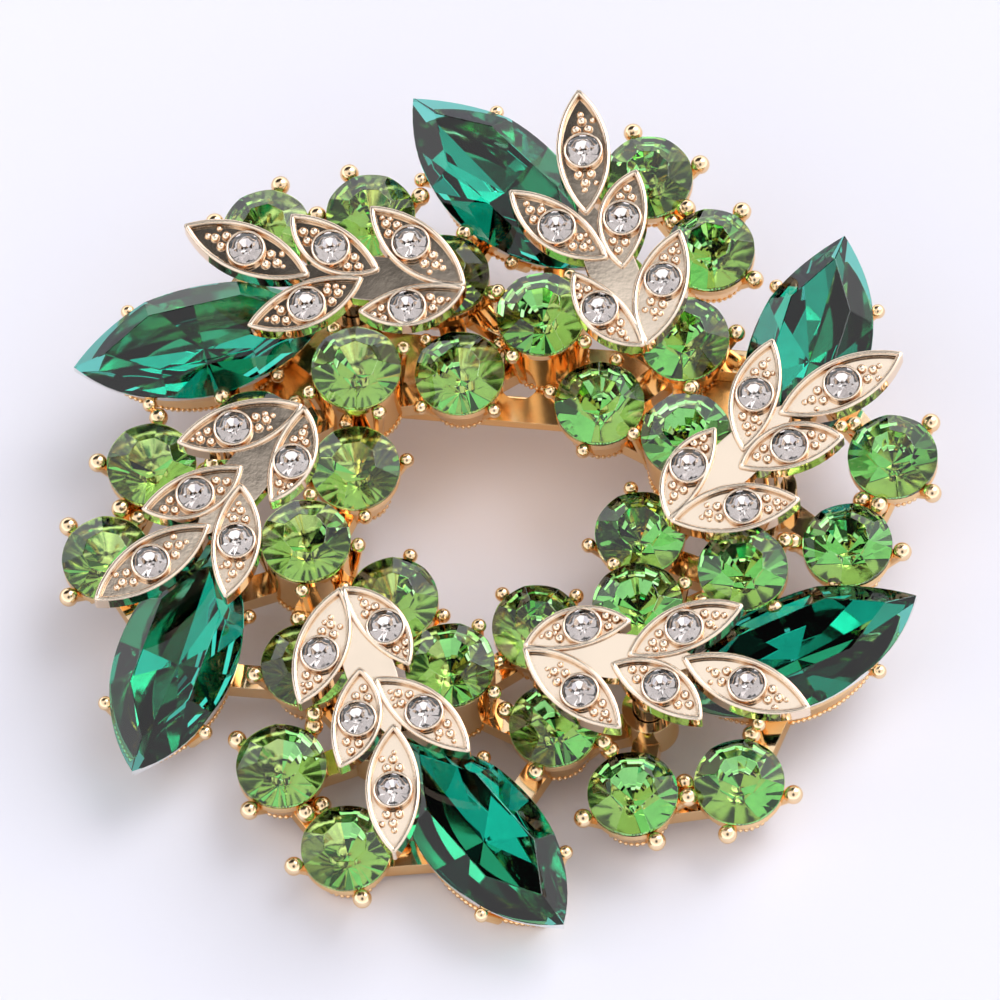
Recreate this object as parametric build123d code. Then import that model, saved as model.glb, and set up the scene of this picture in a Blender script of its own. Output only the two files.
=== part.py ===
from build123d import *
import os
from math import atan2, cos, degrees, pi, radians, sin, sqrt

# A round brooch of six like groups set on a gilt wreath. Lengths are in millimetres, angles in degrees.
# The wreath is drawn level, centred on its own axis, with height zero at the girdles of the inmost
# round stones. At the end it is leaned over to the way it lies on a table, on its pin and its front edge.

# Corners round the girdle of every cut stone; its table has half as many
stone_sides = 16

# Round stones
round_diameter = 5.15
round_crown = 0.92
round_pavilion = 2.15
round_table_share = 0.54
stone_girdle = 0.16

# Pointed-oval stones
navette_length = 15.1
navette_width = 6.96
navette_crown = 1.25
navette_pavilion = 2.3
navette_table_length_share = 0.64
navette_table_width_share = 0.56
navette_keel_share = 0.5
navette_keel_rise_share = 0.82
navette_keel_pull = 0.55
navette_seat_taper = 0.68

# Small clear stones of the leaves
crystal_diameter = 1.9
crystal_crown = 0.34
crystal_pavilion = 0.72
crystal_girdle = 0.08

# Cups and straps of the wreath. A cup's rim stops under the stone's edge, which overhangs it.
seat_clearance = 0.05
rim_drop = 0.25
rim_band = 0.5
cup_floor = 0.4
navette_cup_length_share = 0.84
navette_rim_inset = 0.1
navette_foot_inset = 0.7
strap_thickness = 1.3
prong_radius = 0.55
prong_root_rise = 0.7
prong_sink = 0.3
prong_neck_share = 0.7
ball_sides = 10
rod_sides = 8
navette_bead_radius = 0.42
navette_bead_place = 0.5
navette_bead_root = 0.66

# Layout of the wreath
wreath_radius = 22.5
dome_drop = 0.86
tall_cup_rise = 1.81
wreath_turn = 14.5

# Leaf sprays
spray_length = 16.8
spray_rise = 4.92
leaf_width = 3.1
spray_thickness = 1.0
leaf_rim = 0.3
leaf_recess = 0.28
leaf_tip_radius = 0.16
stem_drop = 0.12
bezel_wall = 0.13
bezel_lip = 0.05
bead_radius = 0.26
bead_near = 1.1
bead_far = 3.2
bead_aside = 1.35
bead_sink = 0.25
peg_diameter = 1.8
peg_clearance = 0.06
socket_wall = 0.6
socket_height = 3.0
socket_floor = 0.7

# Pin back
pin_gap = 0.05
bar_length = 32.0
bar_width = 5.0
bar_thickness = 0.8
bar_offset = 9.08
bar_hole_diameter = 2.2
bar_hole_spacing = 8.6
needle_diameter = 0.9
needle_gap = 1.8
needle_tip = 3.0
needle_point_radius = 0.09
hinge_length = 2.6
catch_length = 2.2
block_width = 3.0
block_wall = 0.8
block_round = 0.6
catch_clearance = 0.15
pin_end_margin = 1.6

# Round stones of one group. reach is a share of wreath_radius, bearing is from the group's first
# direction, level is a share of dome_drop, and tall is 1 for the cup that adds its own rise. foot is the
# radius of the cup's foot as a share of the stone's.
round_table = [
    dict(role="a", reach=0.999, bearing=59.4, level=-1.00, tall=0, foot=0.72),
    dict(role="b", reach=0.889, bearing=44.2, level=-0.50, tall=0, foot=0.72),
    dict(role="c", reach=0.651, bearing=34.4, level=0.20, tall=0, foot=0.70),
    dict(role="d", reach=0.373, bearing=37.4, level=0.00, tall=0, foot=0.70),
    dict(role="e", reach=0.497, bearing=68.5, level=0.00, tall=1, foot=0.90),
]

# Prongs of the round cups: the ball's size and its distance from the stone's edge as shares of
# prong_radius, and the four prongs' bearings from the stone's outward direction
prong_table = [
    dict(role="a", ball=1.00, spread=1.00, bearings=(39, 129, 229, 309)),
    dict(role="b", ball=1.00, spread=1.00, bearings=(2, 64, 182, 272)),
    dict(role="c", ball=0.94, spread=0.76, bearings=(56, 146, 236, 326)),
    dict(role="d", ball=0.78, spread=0.76, bearings=(26, 116, 206, 296)),
    dict(role="e", ball=0.78, spread=0.76, bearings=(70, 160, 250, 340)),
]

# The pointed-oval cup and the spray of one group, in the same shares and bearings
navette_row = dict(reach=0.894, bearing=80.2, level=-0.37, axis=125.6)
spray_row = dict(reach=0.504, bearing=31.6, yaw=95.5)

# Small differences of the six groups, clockwise. The first table moves a whole group of round stones,
# the others move and turn its pointed-oval cup and its spray.
group_table = [
    dict(turn=0.0, swell=-0.006),
    dict(turn=-0.9, swell=0.012),
    dict(turn=0.9, swell=-0.010),
    dict(turn=0.6, swell=0.010),
    dict(turn=-0.4, swell=0.004),
    dict(turn=-0.2, swell=-0.010),
]
navette_table = [
    dict(bearing=1.0, reach=-0.003, axis=0.4),
    dict(bearing=-1.7, reach=-0.008, axis=0.0),
    dict(bearing=2.2, reach=-0.021, axis=10.9),
    dict(bearing=-0.3, reach=0.021, axis=-5.4),
    dict(bearing=-1.2, reach=0.016, axis=-2.3),
    dict(bearing=0.1, reach=-0.004, axis=-0.8),
]
spray_table = [
    dict(bearing=0.1, reach=0.004, yaw=0.0),
    dict(bearing=0.3, reach=-0.024, yaw=-6.0),
    dict(bearing=-0.4, reach=0.009, yaw=2.4),
    dict(bearing=1.4, reach=0.0, yaw=-2.6),
    dict(bearing=0.1, reach=0.008, yaw=1.9),
    dict(bearing=-1.7, reach=0.003, yaw=1.9),
]

# Leaves of a spray, the undermost first. Places are shares of spray_length along the stem and to its
# left, bulges are shares of leaf_width to each side of the line from base to tip, and set is where
# the small stone sits along that line.
leaf_table = [
    dict(name="tip", base=(0.526, 0.086), tip=(0.999, 0.0), left=0.48, right=0.52, set=0.51),
    dict(name="left_far", base=(0.347, 0.048), tip=(0.688, 0.319), left=0.52, right=0.39, set=0.50),
    dict(name="right_far", base=(0.299, 0.011), tip=(0.652, -0.124), left=0.60, right=0.31, set=0.50),
    dict(name="left_near", base=(-0.004, 0.002), tip=(0.335, 0.177), left=0.55, right=0.27, set=0.56),
    dict(name="right_near", base=(-0.004, 0.002), tip=(0.396, -0.215), left=0.53, right=0.44, set=0.56),
]
stem_row = dict(base=(0.03, 0.0), tip=(0.60, 0.088), left=0.45, right=0.45)
peg_place = (0.417, 0.012)

# Straps between cups. group is 0 where both ends are in one group, -1 where the end is in the group
# before. width is a share of round_diameter. The ends named n and n_in lie along the pointed oval, at these
# shares of its half length.
navette_ends = dict(n=0.0, n_in=-0.6)
strap_table = [
    dict(start="a", end="b", group=0, width=0.32),
    dict(start="a", end="n", group=0, width=0.30),
    dict(start="b", end="post", group=0, width=0.30),
    dict(start="c", end="post", group=0, width=0.30),
    dict(start="c", end="d", group=0, width=0.30),
    dict(start="d", end="e", group=0, width=0.30),
    dict(start="e", end="d", group=-1, width=0.32),
    dict(start="e", end="c", group=-1, width=0.34),
    dict(start="e", end="n_in", group=0, width=0.28),
    dict(start="n", end="c", group=-1, width=0.28),
]

round_radius = round_diameter / 2
crystal_radius = crystal_diameter / 2
group_turn = 360 / len(group_table)
back_level = -(dome_drop + stone_girdle / 2 + round_pavilion + seat_clearance + cup_floor)


def polar(distance, bearing):
    return Vector(distance * cos(radians(bearing)), distance * sin(radians(bearing)), 0)


# Flat facets joined into one closed solid, corners named by their numbers
def faceted(corners, facets):
    faces = [Face(Wire.make_polygon([corners[i] for i in facet])) for facet in facets]
    return Solid(Shell(faces))


# A cut stone: a girdle outline of sixteen corners, a table of eight, and a keel of three corners or
# a single point below. Each side corner of the keel takes the girdle corners nearest to it.
def cut_stone(outline, table, keel, half_girdle):
    count = len(outline)
    half = count // 2
    upper = [(x, y, half_girdle) for x, y in outline]
    lower = [(x, y, -half_girdle) for x, y in outline]
    corners = upper + lower + table + keel
    facets = [tuple(2 * count + i for i in range(half))]
    for i in range(half):
        here = 2 * count + i
        after = 2 * count + (i + 1) % half
        girdle_mid = 2 * i + 1
        girdle_after = (2 * i + 2) % count
        facets.append((here, 2 * i, girdle_mid))
        facets.append((here, girdle_mid, after))
        facets.append((after, girdle_mid, girdle_after))
    for i in range(count):
        after = (i + 1) % count
        facets.append((i, count + i, count + after, after))
    first_keel = 2 * count + half
    nearest = []
    for x, y in outline:
        pull = navette_keel_pull * x
        nearest.append(min(range(len(keel)), key=lambda k: abs(keel[k][0] - pull)))
    for i in range(count):
        after = (i + 1) % count
        facets.append((count + i, first_keel + nearest[i], count + after))
        if nearest[i] != nearest[after]:
            facets.append((first_keel + nearest[i], first_keel + nearest[after], count + after))
    return faceted(corners, facets)


def round_stone(radius, crown, pavilion, girdle):
    turns = [2 * pi * i / stone_sides for i in range(stone_sides)]
    outline = [(radius * cos(turn), radius * sin(turn)) for turn in turns]
    table = [(round_table_share * x, round_table_share * y, girdle / 2 + crown) for x, y in outline[::2]]
    return cut_stone(outline, table, [(0, 0, -girdle / 2 - pavilion)], girdle / 2)


# Half width of a pointed oval of two arcs at a share of its half length
def navette_half_width(share, half_length, half_width):
    arc = (half_length ** 2 + half_width ** 2) / (2 * half_width)
    return sqrt(arc ** 2 - (share * half_length) ** 2) - (arc - half_width)


def navette_stone():
    half_length = navette_length / 2
    half_width = navette_width / 2
    outline = []
    for i in range(stone_sides):
        share = cos(2 * pi * i / stone_sides)
        side = 1 if i < stone_sides / 2 else -1
        outline.append((share * half_length, side * navette_half_width(share, half_length, half_width)))
    height = stone_girdle / 2 + navette_crown
    table_length = navette_table_length_share
    table_width = navette_table_width_share
    table = [(table_length * x, table_width * y, height) for x, y in outline[::2]]
    depth = stone_girdle / 2 + navette_pavilion
    end_x = navette_keel_share * half_length
    end_z = -navette_keel_rise_share * depth
    keel = [(end_x, 0, end_z), (0, 0, -depth), (-end_x, 0, end_z)]
    return cut_stone(outline, table, keel, stone_girdle / 2)


# A pointed outline from base (0, 0) to tip (length, 0), bulging left and right by two arcs, drawn in
# from its edge by inset, which is negative for an outline that stands outside it
def pointed_face(length, left, right, inset=0.0):
    half = length / 2
    left_arc = (half ** 2 + left ** 2) / (2 * left)
    right_arc = (half ** 2 + right ** 2) / (2 * right)
    left_centre = left - left_arc
    right_centre = right_arc - right
    left_reach = left_arc - inset
    right_reach = right_arc - inset
    drift = (left_centre ** 2 - right_centre ** 2 - left_reach ** 2 + right_reach ** 2)
    corner_y = drift / (2 * (left_centre - right_centre))
    corner_x = sqrt(left_reach ** 2 - (corner_y - left_centre) ** 2)
    start = Vector(half - corner_x, corner_y)
    end = Vector(half + corner_x, corner_y)
    above = ThreePointArc(start, Vector(half, left - inset), end)
    below = ThreePointArc(end, Vector(half, inset - right), start)
    return Face(Wire([above, below]))


def navette_face(inset, height, length_share=1.0):
    length = navette_length * length_share
    face = pointed_face(length, navette_width / 2, navette_width / 2, inset)
    return Pos(-length / 2, 0, height) * face


def turned_solid(outline):
    profile = Face(Wire.make_polygon([(r, 0, z) for r, z in outline]))
    return revolve(profile, Axis.Z)


def rod(start, end, radius):
    return Solid.make_cylinder(radius, (end - start).length, Plane(origin=start, z_dir=end - start))


# A prong is a straight rod of a few flat sides
def prong_rod(start, end, radius):
    run = end - start
    side = Plane(origin=start, z_dir=run) * RegularPolygon(radius, rod_sides)
    return Solid.extrude(side.face(), run)


# A small ball of flat facets, its corners on three rings and two poles
def ball(radius):
    ring_height = radius * sqrt(0.5)
    corners = []
    for ring, height in ((ring_height, -ring_height), (radius, 0), (ring_height, ring_height)):
        for i in range(ball_sides):
            turn = 2 * pi * i / ball_sides
            corners.append((ring * cos(turn), ring * sin(turn), height))
    low_pole = len(corners)
    high_pole = low_pole + 1
    corners += [(0, 0, -radius), (0, 0, radius)]
    facets = []
    for i in range(ball_sides):
        after = (i + 1) % ball_sides
        facets.append((low_pole, after, i))
        for ring in (0, ball_sides):
            facets.append((ring + i, ring + after, ring + ball_sides + after, ring + ball_sides + i))
        facets.append((2 * ball_sides + i, 2 * ball_sides + after, high_pole))
    return faceted(corners, facets)


# Places of the pieces of one group
def round_place(group, row):
    shift = group_table[group]
    reach = wreath_radius * row["reach"] * (1 + shift["swell"])
    bearing = wreath_turn + row["bearing"] - group_turn * group + shift["turn"]
    height = dome_drop * row["level"] + tall_cup_rise * row["tall"]
    return polar(reach, bearing) + Vector(0, 0, height), bearing


def navette_location(group):
    shift = navette_table[group]
    reach = wreath_radius * (navette_row["reach"] + shift["reach"])
    bearing = wreath_turn + navette_row["bearing"] - group_turn * group + shift["bearing"]
    axis = wreath_turn + navette_row["axis"] - group_turn * group + shift["axis"]
    centre = polar(reach, bearing)
    return Location((centre.X, centre.Y, dome_drop * navette_row["level"]), (0, 0, axis))


def spray_location(group):
    shift = spray_table[group]
    reach = wreath_radius * (spray_row["reach"] + shift["reach"])
    bearing = wreath_turn + spray_row["bearing"] - group_turn * group + shift["bearing"]
    yaw = wreath_turn + spray_row["yaw"] - group_turn * group + shift["yaw"]
    base = polar(reach, bearing)
    return Location((base.X, base.Y, spray_rise), (0, 0, yaw))


def on_spray(group, along, left):
    local = Location((along * spray_length, left * spray_length, 0))
    return (spray_location(group) * local).position


# Where a strap starts or ends, on the wreath's back
def strap_point(group, name):
    group = group % len(group_table)
    if name == "post":
        point = on_spray(group, *peg_place)
    elif name in navette_ends:
        place = navette_location(group) * Location((navette_ends[name] * navette_length / 2, 0, 0))
        point = place.position
    else:
        row = next(row for row in round_table if row["role"] == name)
        point = round_place(group, row)[0]
    return Vector(point.X, point.Y, 0)


def strap(start, end, width):
    run = end - start
    middle = (start + end) * 0.5
    centre = (middle.X, middle.Y, back_level + strap_thickness / 2)
    heading = degrees(atan2(run.Y, run.X))
    return Location(centre, (0, 0, heading)) * Box(run.length, width, strap_thickness)


# A round cup is a solid foot here. Its seat is cut once the wreath is whole.
def round_cup(centre, foot_share):
    foot = round_radius * foot_share
    top = centre.Z - rim_drop
    band = top - rim_band
    outline = [(0, back_level), (foot, back_level), (round_radius, band), (round_radius, top), (0, top)]
    return Pos(centre.X, centre.Y, 0) * turned_solid(outline)


def round_seat(centre):
    edge = round_radius + seat_clearance
    shoulder = -stone_girdle / 2 - seat_clearance
    point = shoulder - round_pavilion
    top = stone_girdle / 2 + round_crown + seat_clearance
    outline = [(0, point), (edge, shoulder), (edge, top), (0, top)]
    return Pos(centre.X, centre.Y, centre.Z) * turned_solid(outline)


def round_prongs(centre, bearing, foot_share, row):
    ball_radius = prong_radius * row["ball"]
    distance = round_radius + prong_radius * row["spread"]
    tip_ball = ball(ball_radius)
    shapes = []
    for turn in row["bearings"]:
        tip = centre + polar(distance, bearing + turn) - Vector(0, 0, prong_sink)
        foot_centre = Vector(centre.X, centre.Y, back_level + prong_root_rise)
        foot = foot_centre + polar(round_radius * foot_share, bearing + turn)
        shapes.append(prong_rod(foot, tip, ball_radius * prong_neck_share))
        shapes.append(Pos(*tip) * tip_ball)
    return shapes


def navette_cup(place):
    back = back_level - place.position.Z
    rim_face = navette_face(navette_rim_inset, -rim_drop - rim_band, navette_cup_length_share)
    foot_face = navette_face(navette_foot_inset, back, navette_cup_length_share)
    band = Solid.extrude(rim_face, Vector(0, 0, rim_band))
    foot = loft([foot_face, rim_face], ruled=True)
    return [place * band, place * foot]


def navette_seat(place):
    shoulder = -stone_girdle / 2 - seat_clearance
    height = stone_girdle / 2 + navette_crown + seat_clearance - shoulder
    well = Solid.extrude(navette_face(-seat_clearance, shoulder), Vector(0, 0, height))
    keel_face = navette_face(navette_width / 2 * navette_seat_taper, shoulder - navette_pavilion)
    cavity = loft([keel_face, navette_face(-seat_clearance, shoulder)], ruled=True)
    return [place * well, place * cavity]


def navette_beads(place):
    shapes = []
    half_width = navette_half_width(navette_bead_place, navette_length / 2, navette_width / 2)
    edge = half_width + navette_bead_radius * prong_neck_share
    tip_ball = ball(navette_bead_radius)
    for end in (-1, 1):
        for side in (-1, 1):
            along = end * navette_bead_place * navette_length / 2
            tip = (place * Location((along, side * edge, -prong_sink))).position
            inward = (place * Location((along, side * edge * navette_bead_root, 0))).position
            root = Vector(inward.X, inward.Y, back_level + prong_root_rise)
            shapes.append(prong_rod(root, tip, navette_bead_radius * prong_neck_share))
            shapes.append(Pos(*tip) * tip_ball)
    return shapes


def post_socket(group):
    spot = on_spray(group, *peg_place)
    outer = peg_diameter / 2 + peg_clearance + socket_wall
    foot = Cylinder(outer, socket_height, align=(Align.CENTER, Align.CENTER, Align.MIN))
    return Pos(spot.X, spot.Y, back_level) * foot


def post_bore(group):
    spot = on_spray(group, *peg_place)
    inner = peg_diameter / 2 + peg_clearance
    bore = Cylinder(inner, socket_height, align=(Align.CENTER, Align.CENTER, Align.MIN))
    return Pos(spot.X, spot.Y, back_level + socket_floor) * bore


def wreath_frame():
    metal = []
    hollows = []
    for group in range(len(group_table)):
        for row, prongs in zip(round_table, prong_table):
            centre, bearing = round_place(group, row)
            metal.append(round_cup(centre, row["foot"]))
            metal += round_prongs(centre, bearing, row["foot"], prongs)
            hollows.append(round_seat(centre))
        place = navette_location(group)
        metal += navette_cup(place)
        metal += navette_beads(place)
        hollows += navette_seat(place)
        for row in strap_table:
            start = strap_point(group, row["start"])
            end = strap_point(group + row["group"], row["end"])
            metal.append(strap(start, end, row["width"] * round_diameter))
        metal.append(post_socket(group))
        hollows.append(post_bore(group))
    body = metal[0].fuse(*metal[1:])
    return body.cut(*hollows)


def leaf_parts(row):
    base = Vector(row["base"][0] * spray_length, row["base"][1] * spray_length)
    tip = Vector(row["tip"][0] * spray_length, row["tip"][1] * spray_length)
    run = tip - base
    left = row["left"] * leaf_width
    right = row["right"] * leaf_width
    place = Location((base.X, base.Y, 0), (0, 0, degrees(atan2(run.Y, run.X))))
    return place, run.length, left, right


def leaf_prism(row, inset, low, high):
    place, length, left, right = leaf_parts(row)
    face = pointed_face(length, left, right, inset)
    if inset == 0:
        face = fillet(face.vertices(), leaf_tip_radius)
    return place * Pos(0, 0, low) * extrude(face, high - low, dir=(0, 0, 1))


def leaf_setting(row):
    place, length, left, right = leaf_parts(row)
    return place * Location((row["set"] * length, (left - right) / 2, 0))


# Five leaves laid over a plain stem, each with a sunk field, a bezel and six beads
def leaf_spray():
    body = leaf_prism(stem_row, 0, -spray_thickness, -stem_drop)
    bezel_radius = crystal_radius + seat_clearance + bezel_wall
    for row in leaf_table:
        field = leaf_prism(row, leaf_rim, -leaf_recess, spray_thickness)
        body = body - leaf_prism(row, 0, -leaf_recess - stem_drop, spray_thickness)
        body = body + (leaf_prism(row, 0, -spray_thickness, 0) - field)
        centre = leaf_setting(row)
        bezel_height = spray_thickness + bezel_lip
        bezel = Cylinder(bezel_radius, bezel_height, align=(Align.CENTER, Align.CENTER, Align.MIN))
        body = body + centre * Pos(0, 0, -spray_thickness) * bezel
        near = bezel_radius + bead_radius * bead_near
        far = bezel_radius + bead_radius * bead_far
        for along, side in ((near, 1), (near, -1), (far, 0), (-near, 1), (-near, -1), (-far, 0)):
            spot = Pos(along, side * bead_radius * bead_aside, -leaf_recess + bead_radius * bead_sink)
            body = body + centre * spot * Sphere(bead_radius)
    edge = crystal_radius + seat_clearance
    shoulder = -crystal_girdle / 2 - seat_clearance
    point = shoulder - crystal_pavilion
    outline = [(0, point), (edge, shoulder), (edge, crystal_crown), (0, crystal_crown)]
    seat = Pos(0, 0, bezel_lip) * turned_solid(outline)
    for row in leaf_table:
        body = body - leaf_setting(row) * seat
    peg_length = spray_rise - spray_thickness - back_level - socket_floor - peg_clearance
    peg = Cylinder(peg_diameter / 2, peg_length, align=(Align.CENTER, Align.CENTER, Align.MAX))
    return body + Pos(peg_place[0] * spray_length, peg_place[1] * spray_length, -spray_thickness) * peg


# A block under the bar that carries the needle, rounded along its lower edges
def pin_block(length):
    depth = needle_gap + needle_diameter + block_wall
    block = Pos(0, 0, -depth / 2) * Box(length, block_width, depth)
    lower = block.edges().filter_by(Axis.X).group_by(Axis.Z)[0]
    return fillet(lower, block_round)


# The pin back is one plain piece: bar, hinge block, needle and catch
def pin_back():
    bar = extrude(SlotOverall(bar_length, bar_width), -bar_thickness)
    hole = Cylinder(bar_hole_diameter / 2, bar_thickness, align=(Align.CENTER, Align.CENTER, Align.MAX))
    for step in (-1, 0, 1):
        bar = bar - Pos(step * bar_hole_spacing, 0, 0) * hole
    needle_radius = needle_diameter / 2
    needle_level = -bar_thickness - needle_gap - needle_radius
    hinge_x = bar_length / 2 - pin_end_margin - hinge_length / 2
    catch_x = -(bar_length / 2 - pin_end_margin - catch_length / 2)
    hinge = Pos(hinge_x, 0, -bar_thickness) * pin_block(hinge_length)
    slot_height = needle_diameter + 2 * catch_clearance
    slot_reach = block_width / 2 + slot_height / 2
    slot = Pos(0, slot_reach / 2 - slot_height / 2, needle_level + bar_thickness)
    catch = pin_block(catch_length) - slot * Box(catch_length, slot_reach, slot_height)
    tip_x = catch_x - catch_length / 2 - catch_clearance
    shank_start = Vector(hinge_x, 0, needle_level)
    shank_end = Vector(tip_x + needle_tip, 0, needle_level)
    shank = rod(shank_start, shank_end, needle_radius)
    point_plane = Plane(origin=shank_end, z_dir=(-1, 0, 0))
    point = Solid.make_cone(needle_radius, needle_point_radius, needle_tip, point_plane)
    body = bar + [hinge, shank, point, Pos(catch_x, 0, -bar_thickness) * catch]
    return Pos(0, bar_offset, back_level - pin_gap) * body


frame_solid = wreath_frame()
pin_solid = pin_back()
spray_solid = leaf_spray()
round_solid = round_stone(round_radius, round_crown, round_pavilion, stone_girdle)
navette_solid = navette_stone()
crystal_solid = round_stone(crystal_radius, crystal_crown, crystal_pavilion, crystal_girdle)

nodes = {"wreath_frame": frame_solid, "pin_back": pin_solid}
for group in range(len(group_table)):
    number = group + 1
    nodes[f"emerald_{number}"] = navette_location(group) * navette_solid
    for row in round_table:
        centre, bearing = round_place(group, row)
        nodes[f"peridot_{number}_{row['role']}"] = Location(tuple(centre), (0, 0, bearing)) * round_solid
    place = spray_location(group)
    nodes[f"leaf_spray_{number}"] = place * spray_solid
    crystals = [place * leaf_setting(row) * Pos(0, 0, bezel_lip) * crystal_solid for row in leaf_table]
    nodes[f"crystals_{number}"] = Compound(crystals)

# The brooch lies on the two blocks of its pin and on the lowest cup of its front edge, which sets the lean
pin_bottom = back_level - pin_gap - bar_thickness - needle_gap - needle_diameter - block_wall
pin_edge = bar_offset - block_width / 2 + block_round
foot_face = navette_face(navette_foot_inset, 0, navette_cup_length_share)
feet = []
for group in range(len(group_table)):
    feet.append((navette_location(group) * foot_face).bounding_box().min.Y)
    for row in round_table:
        feet.append(round_place(group, row)[0].Y - round_radius * row["foot"])
front_edge = min(feet)
lean = degrees(atan2(back_level - pin_bottom, pin_edge - front_edge))
leaned = {name: Rot(lean, 0, 0) * shape for name, shape in nodes.items()}
box = Compound([*leaned.values()]).bounding_box()
shift = Pos(-(box.min.X + box.max.X) / 2, -(box.min.Y + box.max.Y) / 2, -box.min.Z)

os.makedirs("parts", exist_ok=True)
for name, shape in leaned.items():
    export_step(shift * shape, f"parts/{name}.step")
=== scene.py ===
import bpy
import bmesh
from math import atan2, ceil, cos, pi, radians, sin, sqrt
from mathutils import Matrix, Vector


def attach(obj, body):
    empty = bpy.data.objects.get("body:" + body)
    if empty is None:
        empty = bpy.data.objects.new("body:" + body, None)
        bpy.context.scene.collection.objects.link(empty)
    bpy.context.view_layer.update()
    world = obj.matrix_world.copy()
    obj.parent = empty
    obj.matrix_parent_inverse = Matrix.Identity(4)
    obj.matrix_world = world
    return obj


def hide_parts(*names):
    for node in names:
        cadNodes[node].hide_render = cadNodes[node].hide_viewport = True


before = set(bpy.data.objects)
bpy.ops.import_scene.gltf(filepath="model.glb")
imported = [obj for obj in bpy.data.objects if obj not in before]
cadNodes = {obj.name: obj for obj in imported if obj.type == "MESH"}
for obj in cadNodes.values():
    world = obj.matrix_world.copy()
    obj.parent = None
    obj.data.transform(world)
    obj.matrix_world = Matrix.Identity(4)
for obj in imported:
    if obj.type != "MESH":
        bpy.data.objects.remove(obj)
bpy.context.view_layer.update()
scene = bpy.context.scene
print("frame loaded:", len(cadNodes), "nodes")

# How the wreath lies: leaned back on its pin, with its own centre moved to the shared frame.
# Lengths are in millimetres and angles in degrees, here and in what follows. mm turns them into metres.
lie = dict(lean=7.580916, shift=(0.03405, 0.35656, 6.74713), turn=14.5, mm=0.001)
toRow = (
    Matrix.Scale(lie["mm"], 4)
    @ Matrix.Translation(Vector(lie["shift"]))
    @ Matrix.Rotation(radians(lie["lean"]), 4, "X")
)

# Camera
cameraRow = dict(
    elevation=65.52,
    roll=-8.48,
    distance=861.9,
    pixelsPerMm=17.5,
    centre=(-3.06, -0.15),
    frame=1000,
    sensor=36.0,
    clipNear=0.05,
    clipFar=20,
)


def makeCamera():
    turn = Matrix.Rotation(radians(lie["turn"]), 3, "Z")
    lean = Matrix.Rotation(radians(lie["lean"]), 3, "X")
    high = radians(cameraRow["elevation"])
    roll = radians(cameraRow["roll"])
    back = Vector((0, -cos(high), sin(high)))
    right = Vector((1, 0, 0))
    up = back.cross(right)
    sideways = right * cos(roll) + up * sin(roll)
    upward = up * cos(roll) - right * sin(roll)
    axes = [lean @ turn @ v for v in (sideways, upward, back)]
    data = bpy.data.cameras.new("photoCamera")
    data.sensor_width = cameraRow["sensor"]
    frameWidth = cameraRow["frame"]
    data.lens = cameraRow["pixelsPerMm"] * cameraRow["distance"] * cameraRow["sensor"] / frameWidth
    data.shift_x = -cameraRow["centre"][0] / frameWidth
    data.shift_y = -cameraRow["centre"][1] / frameWidth
    data.clip_start = cameraRow["clipNear"]
    data.clip_end = cameraRow["clipFar"]
    camera = bpy.data.objects.new("photoCamera", data)
    place = Matrix((axes[0], axes[1], axes[2])).transposed().to_4x4()
    place.translation = (Vector(lie["shift"]) + axes[2] * cameraRow["distance"]) * lie["mm"]
    camera.matrix_world = place
    scene.collection.objects.link(camera)
    scene.camera = camera


makeCamera()
print("camera set")

# Materials

def newMaterial(name):
    material = bpy.data.materials.new(name)
    material.use_nodes = True
    tree = material.node_tree
    tree.nodes.clear()
    output = tree.nodes.new("ShaderNodeOutputMaterial")
    shader = tree.nodes.new("ShaderNodeBsdfPrincipled")
    tree.links.new(shader.outputs["BSDF"], output.inputs["Surface"])
    return material, tree, shader


def addNode(tree, kind, **values):
    node = tree.nodes.new(kind)
    for name, value in values.items():
        if name in node.inputs:
            node.inputs[name].default_value = value
        else:
            setattr(node, name, value)
    return node


def objectPlace(tree):
    place = addNode(tree, "ShaderNodeTexCoord")
    mapping = addNode(tree, "ShaderNodeMapping")
    tree.links.new(place.outputs["Object"], mapping.inputs["Vector"])
    return mapping.outputs["Vector"]


def noiseAt(tree, place, scale, detail=2.0):
    noise = addNode(tree, "ShaderNodeTexNoise", Scale=scale, Detail=detail)
    tree.links.new(place, noise.inputs["Vector"])
    return noise.outputs["Fac"]


def colourRamp(tree, source, stops):
    ramp = tree.nodes.new("ShaderNodeValToRGB")
    elements = ramp.color_ramp.elements
    while len(elements) < len(stops):
        elements.new(0.5)
    for element, (place, colour) in zip(elements, stops):
        element.position = place
        element.color = (*colour, 1)
    tree.links.new(source, ramp.inputs["Fac"])
    return ramp.outputs["Color"]


# Polished gilt metal with painted shade: an occlusion mask lays a redder, darker colour into its cavities,
# where shade falls. It is pale gold where it is seen at a grazing angle, with a slow waviness and a fine
# grain in its surface. Lengths here are in metres.
goldLook = dict(
    bright=(0.92, 0.70, 0.45),
    # painted shade: the redder, darker colour laid into the cavities by the occlusion mask
    cavity=(0.88, 0.52, 0.20),
    grazing=(1.0, 0.78, 0.52),
    cavityReach=0.0012,
    cavityStart=0.15,
    cavityEnd=0.8,
    cavitySamples=3,
    roughnessLow=0.04,
    roughnessHigh=0.12,
    polishCoarser=9,
    polishStart=0.3,
    polishEnd=0.7,
    edgeRadius=0.00008,
    edgeSamples=2,
    waveScale=180.0,
    waveDetail=1.0,
    waveDepth=0.00003,
    grainScale=3200.0,
    grainDetail=3.0,
    grainDepth=0.0000012,
)


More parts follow.
